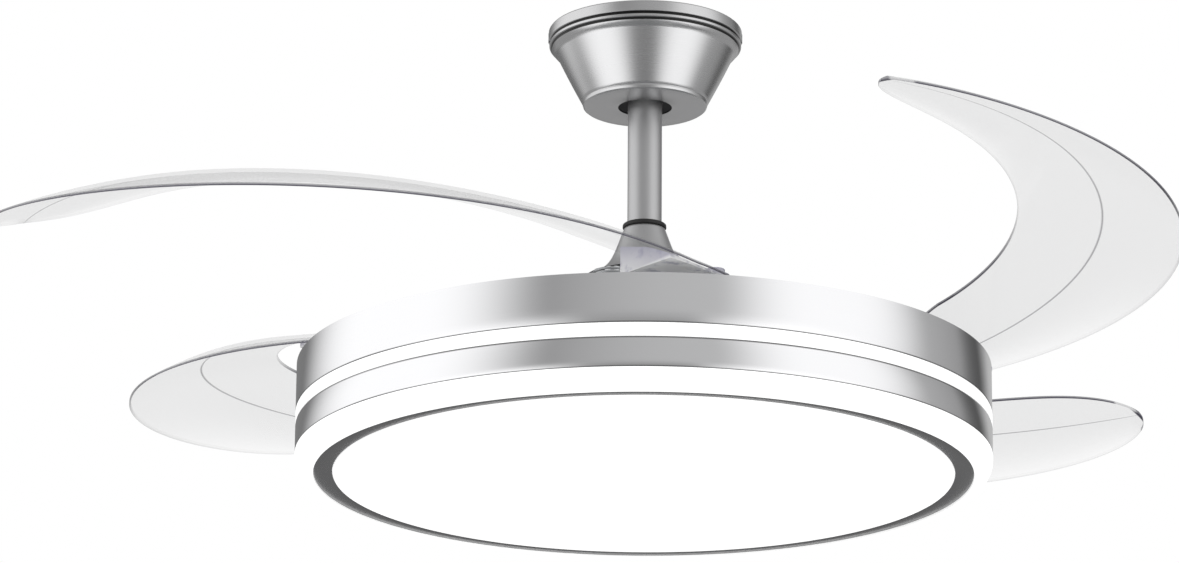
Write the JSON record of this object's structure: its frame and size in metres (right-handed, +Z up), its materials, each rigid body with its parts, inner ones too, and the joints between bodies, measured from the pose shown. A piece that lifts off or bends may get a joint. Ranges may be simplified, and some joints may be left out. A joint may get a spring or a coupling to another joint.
{
  "type": "ceiling fan with retractable blades",
  "caption": "Ceiling fan with clear crescent blades that fold over a round drum light, hung from a bell canopy on a short downrod.",
  "frame": {"origin": "centre of the ceiling bracket's top face, midway between its two ceiling screws", "axes": "+Z up along the downrod to the ceiling, +X along the ceiling bracket"},
  "size_m": [0.8543, 0.9345, 0.34],
  "materials": {
    "satin_steel": "satin nickel plated sheet",
    "polished_band": "satin chrome plated sheet",
    "zinc_steel": "zinc plated",
    "dark_steel": "black oxide",
    "cast_aluminium": "die cast",
    "dark_trim": "dark satin plated",
    "clear_plastic": "clear moulded",
    "white_acrylic": "opal, glowing when lit",
    "black_rubber": "matte",
    "bearing_steel": "ground",
    "stator_steel": "laminated sheet",
    "copper_wire": "enamelled",
    "magnet": "sintered",
    "white_sheet": "white powder coat",
    "white_plastic": "moulded case",
    "led_white": "board with white mask"
  },
  "bodies": {
    "ceiling_mount": {"ceiling_bracket": "zinc_steel", "canopy": "satin_steel", "canopy_screws": "satin_steel"},
    "hanging_unit": {"hanger_ball": "dark_steel", "ball_pin": "zinc_steel", "ball_set_screw": "zinc_steel", "downrod": "satin_steel", "rod_gasket": "black_rubber", "coupling_cover": "satin_steel", "motor_yoke": "dark_steel", "yoke_pin": "zinc_steel", "yoke_split_pin": "zinc_steel", "yoke_set_screws": "zinc_steel", "motor_shaft": "zinc_steel", "stator_core": "stator_steel", "stator_windings": "copper_wire", "lamp_chassis": "white_sheet", "shaft_nut": "zinc_steel", "upper_band": "polished_band", "light_ring": "white_acrylic", "lower_band": "polished_band", "outer_ring": "white_acrylic", "led_tray": "white_sheet", "led_board": "led_white", "tray_screws": "zinc_steel", "led_driver": "white_plastic", "remote_receiver": "white_plastic", "side_led_strip": "led_white"},
    "lens": {"trim_ring": "dark_trim", "diffuser": "white_acrylic"},
    "rotor": {"lower_bearing": "bearing_steel", "upper_bearing": "bearing_steel", "rotor_bottom_cover": "cast_aluminium", "rotor_top_cover": "cast_aluminium", "rotor_magnets": "magnet", "rotor_screws": "zinc_steel", "blade_plate": "zinc_steel", "plate_screws": "zinc_steel", "pivot_pins": "zinc_steel", "pivot_clips": "dark_steel", "return_spring_1": "zinc_steel", "return_spring_2": "zinc_steel", "return_spring_3": "zinc_steel", "return_spring_4": "zinc_steel"},
    "blade_unit_1": {"blade_1": "clear_plastic", "blade_arm_1": "zinc_steel", "blade_screws_1": "zinc_steel"},
    "blade_unit_2": {"blade_2": "clear_plastic", "blade_arm_2": "zinc_steel", "blade_screws_2": "zinc_steel"},
    "blade_unit_3": {"blade_3": "clear_plastic", "blade_arm_3": "zinc_steel", "blade_screws_3": "zinc_steel"},
    "blade_unit_4": {"blade_4": "clear_plastic", "blade_arm_4": "zinc_steel", "blade_screws_4": "zinc_steel"}
  },
  "joints": [
    {"name": "hanger_swing", "type": "hinge", "parent": "ceiling_mount", "child": "hanging_unit", "pos_m": [0, 0, -0.027], "axis": [0, 1, 0], "range_deg": [-8, 8]},
    {"name": "rotor_spin", "type": "hinge", "parent": "hanging_unit", "child": "rotor", "pos_m": [0, 0, -0.23], "axis": [0, 0, 1], "continuous": true},
    {"name": "blade_fold_1", "type": "hinge", "parent": "rotor", "child": "blade_unit_1", "pos_m": [0.18195, -0.02137, -0.252], "axis": [0, 0, 1], "range_deg": [-80.1, 0]},
    {"name": "blade_fold_2", "type": "hinge", "parent": "rotor", "child": "blade_unit_2", "pos_m": [0.02137, 0.18195, -0.252], "axis": [0, 0, 1], "range_deg": [-111, 0]},
    {"name": "blade_fold_3", "type": "hinge", "parent": "rotor", "child": "blade_unit_3", "pos_m": [-0.18195, 0.02137, -0.252], "axis": [0, 0, 1], "range_deg": [-87.7, 0]},
    {"name": "blade_fold_4", "type": "hinge", "parent": "rotor", "child": "blade_unit_4", "pos_m": [-0.02137, -0.18195, -0.252], "axis": [0, 0, 1], "range_deg": [-75.8, 0]},
    {"name": "lens_twist", "type": "hinge", "parent": "hanging_unit", "child": "lens", "pos_m": [0, 0, -0.33], "axis": [0, 0, 1], "range_deg": [-26.5, 0]}
  ],
  "couplings": [
    {"joint": "blade_fold_2", "follows": "blade_fold_1", "ratio": 1.3857},
    {"joint": "blade_fold_3", "follows": "blade_fold_1", "ratio": 1.0948},
    {"joint": "blade_fold_4", "follows": "blade_fold_1", "ratio": 0.9463}
  ]
}
